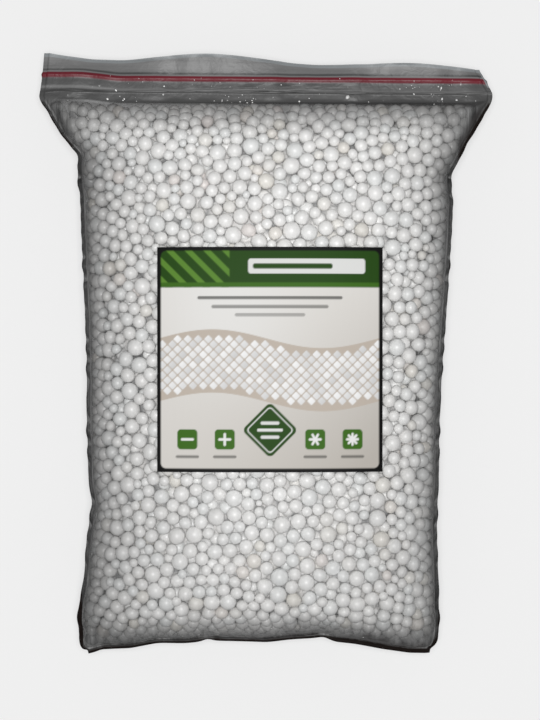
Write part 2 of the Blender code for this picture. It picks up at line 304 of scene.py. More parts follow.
film = {
    "mouthNormal": 0.8,  # faces between the two skins at the mouth look this much along +Y
    "mouthFromZip": 0.004,
    "mergeDistance": 1e-5,
    "quadAngle": 60,  # degrees, up to which two triangles become one face
    "creaseAngle": 40,  # degrees, of edges that the smoothing keeps
    "crease": 0.9,
    "formLevels": 2,
    "skinLevels": 1,
    # how far the sides move across, by place along the bag
    "leftShift": [
        (-0.126, -0.0006), (-0.112, -0.0010), (-0.100, 0.0016), (-0.082, 0.0022), (-0.066, 0.0040),
        (-0.055, 0.0020), (-0.030, 0.0004), (0.068, 0.0), (0.078, -0.0010), (0.0840, -0.0005),
        (0.0880, 0.0016), (0.0905, 0.0008), (0.096, -0.0006), (0.1024, -0.0002), (0.1086, -0.0007),
        (0.1148, -0.0007), (0.1255, 0.0008), (0.1335, 0.0015),
    ],
    "rightShift": [
        (-0.126, 0.0), (-0.080, -0.0008), (-0.050, 0.0006), (0.0, 0.0012), (0.068, 0.0012),
        (0.079, -0.0020), (0.086, -0.0008), (0.092, -0.0006), (0.108, 0.0009), (0.1148, 0.0010),
        (0.117, 0.0002), (0.121, -0.0018), (0.1242, -0.0034), (0.1264, -0.0048),
    ],
    # how far the foot and the lips move along, by place across the bag
    "footShift": [
        (-0.0815, -0.0012), (-0.079, 0.0), (-0.073, 0.0016), (-0.060, 0.0009), (-0.048, 0.0022),
        (-0.036, 0.0013), (-0.029, 0.0016), (-0.026, 0.0030), (-0.0225, 0.0018), (-0.010, 0.0013),
        (0.001, 0.0009), (0.011, 0.0022), (0.021, 0.0030), (0.0265, 0.0039), (0.030, 0.0020),
        (0.040, 0.0016), (0.052, 0.0003), (0.064, -0.0003), (0.074, 0.0006), (0.078, 0.0012),
    ],
    "lipShift": [
        (-0.0985, 0.0006), (-0.084, 0.0001), (-0.060, -0.0006), (-0.044, -0.0001), (-0.025, 0.0008),
        (0.0, 0.0010), (0.030, 0.0008), (0.046, -0.0002), (0.060, -0.0005), (0.080, -0.0006),
        (0.098, -0.0002),
    ],
    "footReach": 0.020,
    "lipAboveZip": (0.001, 0.009),
    "halfWidth": 0.078,
    "leftBend": 0.0016,  # the zip runs up this far at its left end
    "leftBendRange": (0.064, 0.082),
    "cornerLift": 0.0026,  # the lower left corner of the header is drawn up
    "cornerRange": (0.070, 0.096),
    "cornerY": 0.109,
    "cornerReach": 0.006,
    "formStep": 0.0045,  # length along an edge in which one of its points is looked for
    "skinStep": 0.0015,
    "filledBelow": (0.012, 0.016),  # below the zip the film comes to lie on the beads
    "dimple": 0.00055,  # how far the film sinks between the beads
    "dimpleGap": (0.0003, 0.0014),  # room to the nearest bead over which it sinks
    "dimpleFromEdge": (0.002, 0.006),
    "ripple": 0.00035,
    "rippleReach": 0.006,
    "rippleLean": 0.35,  # the creases lean away from the seam by this much
    "creaseLengths": (0.004, 0.016),
    "waveLengths": (0.012, 0.06),
    "waveFromSide": 0.01,
    "headerBelow": (-0.011, -0.008),
    "ribRise": 0.0005,  # the film stands out over the zip's rib
    "ribWidth": 0.0009,
    # the veil is the share of the film that isn't seen through; its grey is partly the film's haze and partly
    # painted shade over the beads
    "clearVeil": 0.05,
    "steepVeil": 0.14,
    "sideVeil": 0.15,
    "topVeil": 0.31,
    "footVeil": 0.40,
    "streakVeil": 0.03,
    "headerVeil": 0.95,
    "edgeVeil": 0.90,
    "innerVeil": 0.66,
    "creaseVeil": 0.96,
    "topRange": (-0.034, -0.0125),  # places from the zip
    "shoulderRange": (-0.055, -0.030),
    "shoulderVeil": 0.7,
    "shoulderReach": (0.003, 0.009),  # where it starts from the edge, and how far it goes
    "sideReach": (0.002, 0.016),
    "wallRange": (0.016, 0.032),  # the lower half of the wall stays clearer
    "wallVeil": 0.3,
    "footRange": (0.003, 0.016),
    "lowRange": (-0.09, -0.02),
    "lowVeil": 0.22,
    "headerEdge": (-0.0114, -0.0102),
    "streakLengths": (0.003, 0.02),
    "edgeWidth": 0.0027,
    "innerReach": 0.0024,
    "seamReach": 0.016,  # up and down the wall, of the haze and painted shade beside the seam
    "hemWidth": 0.0011,
    # painted shade: how near black the hem along the foot is made
    "paintedHemShade": 0.92,
    "paintedFootShade": 0.0065,  # how far the painted shade in the creases reaches up from the bottom seam
    "paintedFootShadeDrop": 0.004,  # and down the wall below it
    "footLengths": (0.008, 0.045),
    "footWiden": (0.0, 0.045),  # the creases get wider between these places across
    "hemWiden": (0.018, 0.034),
}


def makeFilmForm():
    print("film form")
    cad = bpy.data.objects["bag_film"]
    form = cad.copy()
    form.data = cad.data.copy()
    bpy.context.scene.collection.objects.link(form)
    pick(form)
    bpy.ops.object.mode_set(mode="EDIT")
    bpy.ops.mesh.select_mode(type="VERT")
    bpy.ops.mesh.select_all(action="SELECT")
    bpy.ops.mesh.remove_doubles(threshold=film["mergeDistance"])
    bpy.ops.mesh.select_all(action="DESELECT")
    bpy.ops.mesh.select_mode(type="FACE")
    bpy.ops.object.mode_set(mode="OBJECT")
    for face in form.data.polygons:
        lip = face.center.y > zipY + film["mouthFromZip"]
        face.select = lip and face.normal.y > film["mouthNormal"]
    bpy.ops.object.mode_set(mode="EDIT")
    bpy.ops.mesh.delete(type="FACE")
    bpy.ops.mesh.select_all(action="SELECT")
    bpy.ops.mesh.separate(type="LOOSE")
    bpy.ops.object.mode_set(mode="OBJECT")
    skins = sorted(bpy.context.selected_objects, key=lambda skin: skin.dimensions.x)
    outer = skins.pop()
    for skin in skins:
        bpy.data.objects.remove(skin)
    outer.name = "clear_bag"
    pick(outer)
    bpy.ops.object.mode_set(mode="EDIT")
    bpy.ops.mesh.select_all(action="SELECT")
    flat = math.radians(film["quadAngle"])
    bpy.ops.mesh.tris_convert_to_quads(face_threshold=flat, shape_threshold=flat)
    bpy.ops.mesh.select_all(action="DESELECT")
    bpy.ops.mesh.select_mode(type="EDGE")
    bpy.ops.mesh.edges_select_sharp(sharpness=math.radians(film["creaseAngle"]))
    bpy.ops.transform.edge_crease(value=film["crease"])
    bpy.ops.object.mode_set(mode="OBJECT")
    smooth = outer.modifiers.new("smooth", "SUBSURF")
    smooth.levels = smooth.render_levels = film["formLevels"]
    applyModifiers(outer)
    bpy.ops.object.shade_smooth()
    shiftSides(outer)
    return outer


def outermost(along, across, step):
    # the points that lie furthest out on the low side of across, one in each step
    steps = np.floor(along / step).astype(int)
    order = np.lexsort((across, steps))
    first = order[np.concatenate([[True], np.diff(steps[order]) > 0])]
    return along[first], across[first]


def shiftAt(name, places):
    along, amounts = zip(*film[name])
    return np.interp(places, along, amounts)


def shiftSides(form):
    # the sides draw in and bulge as the beads press on the film
    points = meshPoints(form)
    for side, name in ((-1, "leftShift"), (1, "rightShift")):
        share = np.clip(side * points[:, 0] / film["halfWidth"], 0, 1) ** 2
        points[:, 0] += share * shiftAt(name, points[:, 1])
    footX, footY = outermost(points[:, 0], points[:, 1], film["formStep"])
    fromFoot = np.clip(points[:, 1] - np.interp(points[:, 0], footX, footY), 0, None)
    nearFoot = 1 - smoothStep(fromFoot, 0, film["footReach"])
    nearLip = smoothStep(points[:, 1] - zipY, *film["lipAboveZip"])
    points[:, 1] += nearLip * shiftAt("lipShift", points[:, 0])
    points[:, 1] += nearFoot * shiftAt("footShift", points[:, 0])
    corner = smoothStep(-points[:, 0], *film["cornerRange"])
    corner *= np.exp(-((points[:, 1] - film["cornerY"]) / film["cornerReach"]) ** 2)
    points[:, 1] += film["cornerLift"] * corner
    setPoints(form, points)


def ripples(places, seed, lengths, count=9):
    # a sum of waves with mixed lengths, between about -1 and 1
    random = np.random.default_rng(seed)
    total = np.zeros(len(places))
    for _ in range(count):
        length = random.uniform(*lengths)
        wave = np.sin(places * 2 * math.pi / length + random.uniform(0, 2 * math.pi))
        total += wave * random.uniform(0.4, 1)
    return total / math.sqrt(count)


def filmDistances(points):
    # how far each point is from the zip, the lips, the sides, the foot and the nearest edge
    x, y = points[:, 0], points[:, 1]
    slope, level = zipLine()
    bend = film["leftBend"] * smoothStep(-x, *film["leftBendRange"])
    fromZip = y - (slope * x + level) - bend
    lipX, lipY = outermost(x, -y, film["formStep"])
    fromLip = -y - np.interp(x, lipX, lipY)
    leftY, leftX = outermost(y, x, film["skinStep"])
    rightY, rightX = outermost(y, -x, film["skinStep"])
    fromSide = np.minimum(x - np.interp(y, leftY, leftX), -x - np.interp(y, rightY, rightX))
    footX, footY = outermost(x, y, film["formStep"])
    fromFoot = y - np.interp(x, footX, footY)
    fromEdge = np.clip(np.minimum(fromSide, fromFoot), 0, None)
    return fromZip, fromLip, np.clip(fromSide, 0, None), fromFoot, fromEdge


def filmRelief(points, fromZip, fromSide, fromEdge, filled, beadPoints, beadSizes):
    # the film rests on the beads, sinks a little between them, and creases towards the seams
    tree = treeOf(beadPoints)
    clear = np.array([
        min(far - beadSizes[index] for _, index, far in tree.find_n(point, 3))
        for point in points
    ])
    sink = film["dimple"] * smoothStep(clear, *film["dimpleGap"]) * filled
    sink *= smoothStep(fromEdge, *film["dimpleFromEdge"])
    nearSeam = np.exp(-fromEdge / film["rippleReach"]) * filled
    crease = film["ripple"] * nearSeam
    crease *= ripples(points[:, 1] + film["rippleLean"] * fromEdge, 5, film["creaseLengths"])
    header = smoothStep(fromZip, *film["headerBelow"])
    wave = film["ripple"] * header * smoothStep(fromSide, 0, film["waveFromSide"])
    wave *= ripples(points[:, 0], 6, film["waveLengths"])
    profile = film["ribRise"] * np.exp(-(fromZip / film["ribWidth"]) ** 2) * header
    return crease - sink + wave + profile


def filmVeil(points, normals, fromZip, fromSide, fromFoot, fromEdge, filled, dark):
    # how milky the film looks: towards the zip, the seams and the foot, and where it is steep; partly the
    # film's haze and partly painted shade that darkens the beads there
    x, y, z = points.T
    haze = smoothStep(fromZip, *film["topRange"]) ** 1.6
    start, reach = film["shoulderReach"]
    haze += film["shoulderVeil"] * smoothStep(fromZip, *film["shoulderRange"]) * fade(fromEdge - start, reach)
    above = film["wallVeil"] + (1 - film["wallVeil"]) * smoothStep(z, *film["wallRange"])
    start, reach = film["sideReach"]
    sides = fade(fromSide - start, reach) * above
    footHaze = (1 - smoothStep(fromFoot, *film["footRange"])) * above
    footHaze *= 0.75 + 0.45 * smoothStep(x, -0.02, 0.05)  # thicker to the right
    footHaze += film["lowVeil"] * (1 - smoothStep(y, *film["lowRange"]))
    steep = (1 - np.abs(normals[:, 2])) ** 2
    streak = 0.5 + 0.5 * ripples(x * 0.6 + y * 0.15, 7, film["streakLengths"])
    veil = film["clearVeil"] + film["steepVeil"] * steep + film["sideVeil"] * sides
    veil += film["topVeil"] * haze + film["footVeil"] * footHaze + film["streakVeil"] * streak * filled
    veil += (film["headerVeil"] - veil) * smoothStep(fromZip, *film["headerEdge"])
    edge = 1 - smoothStep(fromEdge, film["edgeWidth"] * 0.75, film["edgeWidth"] * 1.1)
    veil += np.clip(film["edgeVeil"] - veil, 0, 1) * edge
    inner = fade(fromEdge - film["edgeWidth"], film["innerReach"]) * filled
    inner *= np.exp(-((z - view["seamHeight"]) / film["seamReach"]) ** 2)
    veil += np.clip(film["innerVeil"] - veil, 0, 1) * inner
    # the film turns opaque where the painted shade of the foot's creases lies
    return veil + np.clip(film["creaseVeil"] - veil, 0, 1) * dark * filled


def makeFilm(form, beadPoints, beadSizes):
    print("film")
    pick(form)
    finer = form.modifiers.new("finer", "SUBSURF")
    finer.levels = finer.render_levels = film["skinLevels"]
    applyModifiers(form)
    points, normals = meshPoints(form), meshNormals(form)
    fromZip, fromLip, fromSide, fromFoot, fromEdge = filmDistances(points)
    filled = smoothStep(-fromZip, *film["filledBelow"])
    relief = filmRelief(points, fromZip, fromSide, fromEdge, filled, beadPoints, beadSizes)
    points += normals * relief[:, None]
    setPoints(form, points)
    # painted shade in creases along the foot, wider to the right, and on the hem below them
    x, z = points[:, 0], points[:, 2]
    creased = 0.55 + 0.45 * ripples(x, 9, film["footLengths"])
    reach = film["paintedFootShade"] * np.clip(creased, 0.15, 1.3)
    reach *= 0.5 + 0.9 * smoothStep(x, *film["footWiden"])
    dark = 1 - smoothStep(fromFoot, reach * 0.4, reach + 0.0015)
    dark *= np.exp(-(np.clip(view["seamHeight"] - z, 0, 1) / film["paintedFootShadeDrop"]) ** 2)
    hem = film["hemWidth"] * (1 + 1.1 * smoothStep(x, *film["hemWiden"])) * (0.85 + 0.3 * creased)
    addNumbers(form, "fromZip", fromZip)
    addNumbers(form, "fromLip", fromLip)
    addNumbers(form, "fromEdge", fromEdge)
    addNumbers(form, "paintedFootShade", dark)
    addNumbers(form, "paintedHemShade", film["paintedHemShade"] * (1 - smoothStep(fromFoot, 0.6 * hem, 1.15 * hem)))
    addNumbers(form, "veil", filmVeil(points, normals, fromZip, fromSide, fromFoot, fromEdge, filled, dark))
    form.data.materials.clear()
    form.data.materials.append(clearFilmMaterial())
    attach(form, "root")
    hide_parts("bag_film")
    print("film", len(form.data.polygons), "faces")


def attributeRamp(nodes, links, name, low, high, stops):
    # a colour for each distance between low and high
    value = addNode(nodes, "ShaderNodeAttribute", attribute_name=name)
    share = addNode(nodes, "ShaderNodeMapRange", {"From Min": low, "From Max": high})
    links.new(value.outputs["Fac"], share.inputs["Value"])
    ramp = colourBand(nodes, [((place - low) / (high - low), colour) for place, colour in stops])
    links.new(share.outputs["Result"], ramp.inputs[0])
    return ramp


filmLooks = {
    "stripe": (0.15, 0.010, 0.020),
    "stripeEdges": [(0.13, 0.03, 0.04), (0.15, 0.05, 0.06)],
    "lip": (0.225, 0.240, 0.248),
    # painted shade: the brownish dark of the creases along the foot
    "creaseShadeTint": (0.014, 0.009, 0.008),
    # painted shade: the near black of the hem along the foot
    "hemShadeColour": (0.010, 0.007, 0.006),
    "headerStretch": (14.0, 420.0, 60.0),  # painted sheen streaks along the header
    "foldStretch": (620.0, 34.0, 90.0),  # the folds of the body run down to the foot, with painted sheen and shade along them
    "creaseScale": 260.0,
    "roughness": 0.45,
    "shine": 0.25,
    "gloss": 0.20,
    "glossRoughness": 0.34,
    "glossColour": (0.9, 0.9, 0.9, 1),
    "refraction": 1.42,
}


def filmColour(nodes, links):
    stripe, white = filmLooks["stripe"], (1, 1, 1, 1)
    above, below = filmLooks["stripeEdges"]
    zipBands = attributeRamp(nodes, links, "fromZip", -0.014, 0.006, [
        (-0.014, grey(0.115)), (-0.0112, grey(0.070)), (-0.0064, grey(0.076)), (-0.0057, grey(0.15)),
        (-0.0052, grey(0.17)), (-0.0044, grey(0.085)), (-0.0016, grey(0.075)), (-0.0011, above),
        (-0.0008, stripe), (0.0008, stripe), (0.0011, below), (0.0013, grey(0.19)), (0.0017, grey(0.17)),
        (0.0020, grey(0.055)), (0.0025, grey(0.07)), (0.0030, grey(0.155)), (0.006, grey(0.17)),
    ])
    lipBand = attributeRamp(nodes, links, "fromLip", 0.0, 0.004, [
        (0.0, grey(1)), (0.0013, grey(1)), (0.0017, grey(0)), (0.004, grey(0)),
    ])
    # painted light at the seal: near black shade at the very edge, a painted highlight along its fold about 2
    # mm in, and darker again just inside it
    edgeShadeAndHighlight = attributeRamp(nodes, links, "fromEdge", 0.0, 0.006, [
        (0.0, grey(0.06)), (0.0014, grey(0.09)), (0.0017, grey(0.30)), (0.0021, grey(1.7)),
        (0.0024, grey(1.6)), (0.0029, grey(0.50)), (0.006, grey(0.9)),
    ])
    header = attributeRamp(nodes, links, "fromZip", -0.016, -0.010, [
        (-0.016, grey(0)), (-0.0125, grey(0)), (-0.0108, grey(1)), (-0.010, grey(1)),
    ]).outputs[0]
    # painted sheen: lighter and darker streaks along the header
    streakNoise = {"Scale": 1.0, "Detail": 5.0, "Roughness": 0.6}
    streaks = objectTexture(nodes, links, "ShaderNodeTexNoise", streakNoise, filmLooks["headerStretch"])
    streakRange = {"From Min": 0.3, "From Max": 0.7, "To Min": 0.82, "To Max": 1.2}
    headerSheenStreaks = addNode(nodes, "ShaderNodeMapRange", streakRange)
    links.new(streaks.outputs[0], headerSheenStreaks.inputs["Value"])
    # painted sheen and shade: lighter and darker streaks along the folds
    foldNoise = {"Scale": 1.0, "Detail": 4.0, "Roughness": 0.6, "Distortion": 0.5}
    folds = objectTexture(nodes, links, "ShaderNodeTexNoise", foldNoise, filmLooks["foldStretch"])
    foldRange = {"From Min": 0.36, "From Max": 0.66, "To Min": 0.40, "To Max": 2.3}
    foldSheenAndShade = addNode(nodes, "ShaderNodeMapRange", foldRange)
    links.new(folds.outputs[0], foldSheenAndShade.inputs["Value"])
    lip = mixColours(nodes, links, lipBand.outputs[0], zipBands.outputs[0], (*filmLooks["lip"], 1))
    edge = mixColours(nodes, links, header, edgeShadeAndHighlight.outputs[0], white)
    lines = mixColours(nodes, links, header, foldSheenAndShade.outputs[0], headerSheenStreaks.outputs[0])
    tone = mixColours(nodes, links, 1.0, lip, edge, "MULTIPLY")
    tone = mixColours(nodes, links, 1.0, tone, lines, "MULTIPLY")
    # painted shade in the creases along the foot
    foot = addNode(nodes, "ShaderNodeAttribute", attribute_name="paintedFootShade")
    return mixColours(nodes, links, foot.outputs["Fac"], tone, (*filmLooks["creaseShadeTint"], 1))


def clearFilmMaterial():
    material, nodes, links = newMaterial("clear_film")
    creaseNoise = {"Scale": filmLooks["creaseScale"], "Detail": 4.0, "Distortion": 0.8}
    creases = objectTexture(nodes, links, "ShaderNodeTexNoise", creaseNoise)
    bump = bumpFrom(nodes, links, creases.outputs[0], 0.35, 0.0006)
    colour = filmColour(nodes, links)
    skin = matteShader(nodes, links, colour, filmLooks["roughness"], filmLooks["shine"], bump)
    clear = nodes.new("ShaderNodeBsdfTransparent")
    veil = addNode(nodes, "ShaderNodeAttribute", attribute_name="veil")
    haze = mixShaders(nodes, links, veil.outputs["Fac"], clear, skin)
    glossy = {"Roughness": filmLooks["glossRoughness"], "Color": filmLooks["glossColour"]}
    shine = addNode(nodes, "ShaderNodeBsdfGlossy", glossy)
    links.new(bump, shine.inputs["Normal"])
    fresnel = addNode(nodes, "ShaderNodeFresnel", {"IOR": filmLooks["refraction"]})
    share = addNode(nodes, "ShaderNodeMath", operation="MULTIPLY")
    share.inputs[1].default_value = filmLooks["gloss"]
    links.new(fresnel.outputs[0], share.inputs[0])
    surface = mixShaders(nodes, links, share.outputs[0], haze, shine)
    # painted shade: the hem along the foot turns near black
    hemShadeColour = addNode(nodes, "ShaderNodeBsdfDiffuse", {"Color": (*filmLooks["hemShadeColour"], 1)})
    hem = addNode(nodes, "ShaderNodeAttribute", attribute_name="paintedHemShade")
    finishMaterial(nodes, links, mixShaders(nodes, links, hem.outputs["Fac"], surface, hemShadeColour))
    return material


# The beads: packed against the inside of the film by pushing overlapping ones apart

beads = {
    "seed": 12,
    "count": 6600,
    "radius": 0.00300,
    "spread": 0.00048,
    "least": 0.0015,
    "most": 0.0039,
    "deepest": 0.0100,  # of a bead's middle below the film, at the start
    "scatter": 0.001,
    "insideShare": 0.3,  # of its radius, that a bead's middle has to lie inside the film at the start
    "underFilm": 0.00012,
    "rounds": 90,
    "pairEvery": 6,  # rounds between two searches for neighbours, and for the film
    "wallEvery": 3,
    "pull": 0.00022,  # towards the film in each round
    "push": 0.42,  # share of an overlap that each of two beads gives way
    "lazy": 0.36,  # share of the beads that nothing draws to the film
    "reach": 0.0088,
    "outside": -0.0007,  # a bead that has slipped this far through the film is left out
    "fromFilling": 0.0005,  # beads start up to this far past the CAD filling, towards the zip
    "overFilling": 0.0030,  # and end no further than this past it
    "frontLayer": 0.0015,
    "deepCut": 0.014,  # only a thin second layer lower than this
    "hiddenDepth": 0.0042,
    "oval": 0.05,
    "dented": 0.10,  # share of the beads
    "dentedSquash": (0.96, 0.92, 0.80),
    "torn": 0.035,
    "tornSquash": (0.90, 0.94, 0.78),
    "tornOffset": 0.13,
    "tornTone": 0.08,  # keeps them cream and pinkish
    "roughPatch": (-0.026, 0.070),  # more of the beads are torn around this place on the front
    "patchReach": 0.018,
    "patchShare": 0.30,
    "coreDepth": 0.0058,
    "coreEven": 0.4,
    "leftShade": 0.50,  # painted shade: how much darker the beads' colour is made beside the left seam
    "leftReach": 0.014,
    "rightShade": 0.45,
    "rightReach": 0.0065,
    "footShade": 0.30,
    "footReach": 0.009,
    "openShoulder": 0.6,  # less painted shade on the shoulders, which lie open to the light
    "shoulderRange": (0.078, 0.094),
    "shadeRange": (0.014, 0.030),  # no painted shade lower than this
    "darkest": 0.40,
}


def closePairs(points, reach):
    tree = treeOf(points)
    first, second = [], []
    for index, point in enumerate(points):
        for _, other, _ in tree.find_range(point, reach):
            if other > index:
                first.append(index)
                second.append(other)
    return np.array(first), np.array(second)


def nearestWall(tree, points):
    # the closest place on the film to each point, and the way inwards there
    places, inward = np.empty_like(points), np.empty_like(points)
    for index, point in enumerate(points):
        place, normal, _, _ = tree.find_nearest(point)
        places[index] = place
        inward[index] = (-normal[0], -normal[1], -normal[2])
    return places, inward


def packBeads(form):
    print("packing beads")
    random = np.random.default_rng(beads["seed"])
    tree = BVHTree.FromObject(form, bpy.context.evaluated_depsgraph_get())
    faces = form.data.polygons
    areas = np.array([face.area for face in faces])
    centres = np.array([face.center for face in faces])
    normals = np.array([face.normal for face in faces])
    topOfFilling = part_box("bead_filling")[1][1]
    areas[centres[:, 1] > topOfFilling + beads["fromFilling"]] = 0
    chosen = random.choice(len(faces), beads["count"], p=areas / areas.sum())
    count = len(chosen)
    size = np.clip(random.normal(beads["radius"], beads["spread"], count), beads["least"], beads["most"])
    depth = random.uniform(0, 1, count) * (beads["deepest"] - size) + size
    scatter = random.uniform(-beads["scatter"], beads["scatter"], (count, 3))
    points = centres[chosen] + scatter - normals[chosen] * depth[:, None]
    places, inward = nearestWall(tree, points)
    inside = ((points - places) * inward).sum(1) > beads["insideShare"] * size
    points, size = points[inside], size[inside]
    room = size + beads["underFilm"]
    lazy = random.uniform(0, 1, len(points)) < beads["lazy"]
    eager = np.where(lazy, 0.0, random.uniform(0.3, 1, len(points)))
    for step in range(beads["rounds"]):
        if step % beads["pairEvery"] == 0:
            first, second = closePairs(points, beads["reach"])
        if step % beads["wallEvery"] == 0:
            places, inward = nearestWall(tree, points)
        easing = min(1.0, 2 * (1 - step / beads["rounds"]))
        gap = ((points - places) * inward).sum(1) - room
        points -= inward * np.clip(gap, 0, beads["pull"] * easing * eager)[:, None]
        for _ in range(2):
            between = points[second] - points[first]
            apart = np.linalg.norm(between, axis=1) + 1e-9
            overlap = np.clip(size[first] + size[second] - apart, 0, None)
            push = between / apart[:, None] * (beads["push"] * overlap)[:, None]
            for axis in range(3):
                points[:, axis] += np.bincount(second, push[:, axis], len(points))
                points[:, axis] -= np.bincount(first, push[:, axis], len(points))
            gap = ((points - places) * inward).sum(1) - room
            points += inward * np.clip(-gap, 0, None)[:, None]
    places, inward = nearestWall(tree, points)
    gap = ((points - places) * inward).sum(1) - room
    size = size + np.clip(gap, None, 0)  # none pokes through the film
    kept = (gap > beads["outside"]) & (points[:, 1] < topOfFilling + beads["overFilling"])
    print("beads", int(kept.sum()), "left out", int((~kept).sum()))
    return points[kept], size[kept], gap[kept]


def beadShape(kind):
    clearSelection()
    bpy.ops.mesh.primitive_ico_sphere_add(subdivisions=2, radius=1)
    bead = bpy.context.object
    bead.name = kind + "_shape"
    if kind == "whole":
        return bead
    bpy.ops.object.mode_set(mode="EDIT")
    bpy.ops.mesh.select_all(action="DESELECT")
    bpy.ops.object.mode_set(mode="OBJECT")
    for vert in bead.data.vertices:
        if kind == "dented":
            vert.select = vert.co.z > 0.55 or (vert.co.x > 0.6 and vert.co.y > 0)
        else:
            vert.select = vert.co.z > 0.1 or vert.co.x > 0.5
    bpy.ops.object.mode_set(mode="EDIT")
    bpy.ops.transform.resize(value=beads[kind + "Squash"])
    if kind == "torn":
        bpy.ops.transform.vertex_random(offset=beads["tornOffset"], seed=5)
    bpy.ops.object.mode_set(mode="OBJECT")
    return bead


def spreadBeads(name, shape, points, sizes, turns, tones, shades):
    # a bead on each point, made real, so that the piece is one plain mesh
    mesh = bpy.data.meshes.new(name)
    mesh.from_pydata([tuple(point) for point in points], [], [])
    piece = bpy.data.objects.new(name, mesh)
    bpy.context.scene.collection.objects.link(piece)
    addNumbers(piece, "beadTone", tones)
    addNumbers(piece, "beadShade", shades)
    for key, values in (("beadSize", sizes), ("beadTurn", turns)):
        attribute = mesh.attributes.new(key, "FLOAT_VECTOR", "POINT")
        attribute.data.foreach_set("vector", np.ascontiguousarray(values, dtype=np.float32).ravel())
    group = bpy.data.node_groups.new(name, "GeometryNodeTree")
    for inOut in ("INPUT", "OUTPUT"):
        group.interface.new_socket("Geometry", in_out=inOut, socket_type="NodeSocketGeometry")
    nodes, links = group.nodes, group.links
    start, end = nodes.new("NodeGroupInput"), nodes.new("NodeGroupOutput")
    bead = addNode(nodes, "GeometryNodeObjectInfo", {"Object": shape})
    size = addNode(nodes, "GeometryNodeInputNamedAttribute", {"Name": "beadSize"}, data_type="FLOAT_VECTOR")
    turn = addNode(nodes, "GeometryNodeInputNamedAttribute", {"Name": "beadTurn"}, data_type="FLOAT_VECTOR")
    place = nodes.new("GeometryNodeInstanceOnPoints")
    real = nodes.new("GeometryNodeRealizeInstances")
    links.new(start.outputs[0], place.inputs["Points"])
    links.new(bead.outputs["Geometry"], place.inputs["Instance"])
    links.new(size.outputs["Attribute"], place.inputs["Scale"])
    links.new(turn.outputs["Attribute"], place.inputs["Rotation"])
    links.new(place.outputs["Instances"], real.inputs["Geometry"])
    links.new(real.outputs["Geometry"], end.inputs[0])
    piece.modifiers.new("beads", "NODES").node_group = group
    applyModifiers(piece)
    bpy.ops.object.shade_smooth_by_angle(angle=math.radians(40))
    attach(piece, "root")
    print(name, len(points), "beads", len(piece.data.polygons), "faces")
    return piece


foam = {
    "cells": 2400.0,  # of the foam's grain, a metre
    "grain": 0.16,
    "coarse": 900.0,
    "tornGrain": 0.9,
    "tornCoarse": 1500.0,
    "coreCells": 185.0,
    "coreRoughness": 0.6,
    "coreShine": 0.2,
    "roughness": 0.40,
    "shine": 0.75,
    "plain": (0.915, 0.908, 0.895),
    "bright": (0.94, 0.935, 0.925),
    "bluish": (0.88, 0.89, 0.885),
    "cream": (0.88, 0.855, 0.80),
    "pinkish": (0.88, 0.83, 0.81),
}


def foamMaterial(name, grain, coarse):
    material, nodes, links = newMaterial(name)
    tone = addNode(nodes, "ShaderNodeAttribute", attribute_name="beadTone")
    ramp = colourBand(nodes, [(0, foam["pinkish"]), (0.02, foam["cream"]), (0.06, foam["plain"]),
                              (0.6, foam["bright"]), (1, foam["bluish"])])
    links.new(tone.outputs["Fac"], ramp.inputs[0])
    # painted shade: each bead's colour is darkened by its beadShade
    shade = addNode(nodes, "ShaderNodeAttribute", attribute_name="beadShade")
    colour = mixColours(nodes, links, 1.0, ramp.outputs[0], shade.outputs["Fac"], "MULTIPLY")
    cells = objectTexture(nodes, links, "ShaderNodeTexVoronoi", {"Scale": foam["cells"]})
    pits = objectTexture(nodes, links, "ShaderNodeTexNoise", {"Scale": coarse, "Detail": 3.0})
    height = addNode(nodes, "ShaderNodeMath", operation="ADD")
    links.new(cells.outputs["Distance"], height.inputs[0])
    links.new(pits.outputs[0], height.inputs[1])
    bump = bumpFrom(nodes, links, height.outputs[0], grain)
    finishMaterial(nodes, links, matteShader(nodes, links, colour, foam["roughness"], foam["shine"], bump))
    return material


def coreMaterial():
    # cells as large as the beads, so that a gap between beads shows more of them below, pale in the middle
    # with painted shade towards each cell's edge
    material, nodes, links = newMaterial("bead_core")
    cells = objectTexture(nodes, links, "ShaderNodeTexVoronoi", {"Scale": foam["coreCells"]})
    ramp = colourBand(nodes, [
        (0.0, foam["plain"]), (0.42, grey(0.78, 0.02)), (0.70, grey(0.42)), (1.0, grey(0.18)),
    ])
    links.new(cells.outputs["Distance"], ramp.inputs[0])
    finishMaterial(nodes, links, matteShader(nodes, links, ramp.outputs[0], foam["coreRoughness"],
                                             foam["coreShine"]))
    return material


def makeCore():
    # what shows between the beads: more beads, further down
    print("bead core")
    cad = bpy.data.objects["bead_filling"]
    core = cad.copy()
    core.data = cad.data.copy()
    core.name = "bead_core"
    bpy.context.scene.collection.objects.link(core)
    pick(core)
    bpy.ops.object.mode_set(mode="EDIT")
    bpy.ops.mesh.select_all(action="SELECT")
    bpy.ops.mesh.remove_doubles(threshold=film["mergeDistance"])
    bpy.ops.object.mode_set(mode="OBJECT")
    points = meshPoints(core)
    setPoints(core, points - meshNormals(core) * beads["coreDepth"])
    even = core.modifiers.new("even", "SMOOTH")
    even.factor = beads["coreEven"]
    even.iterations = 2
    applyModifiers(core)
    core.data.materials.clear()
    core.data.materials.append(coreMaterial())
    bpy.ops.object.shade_smooth()
    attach(core, "root")
    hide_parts("bead_filling")


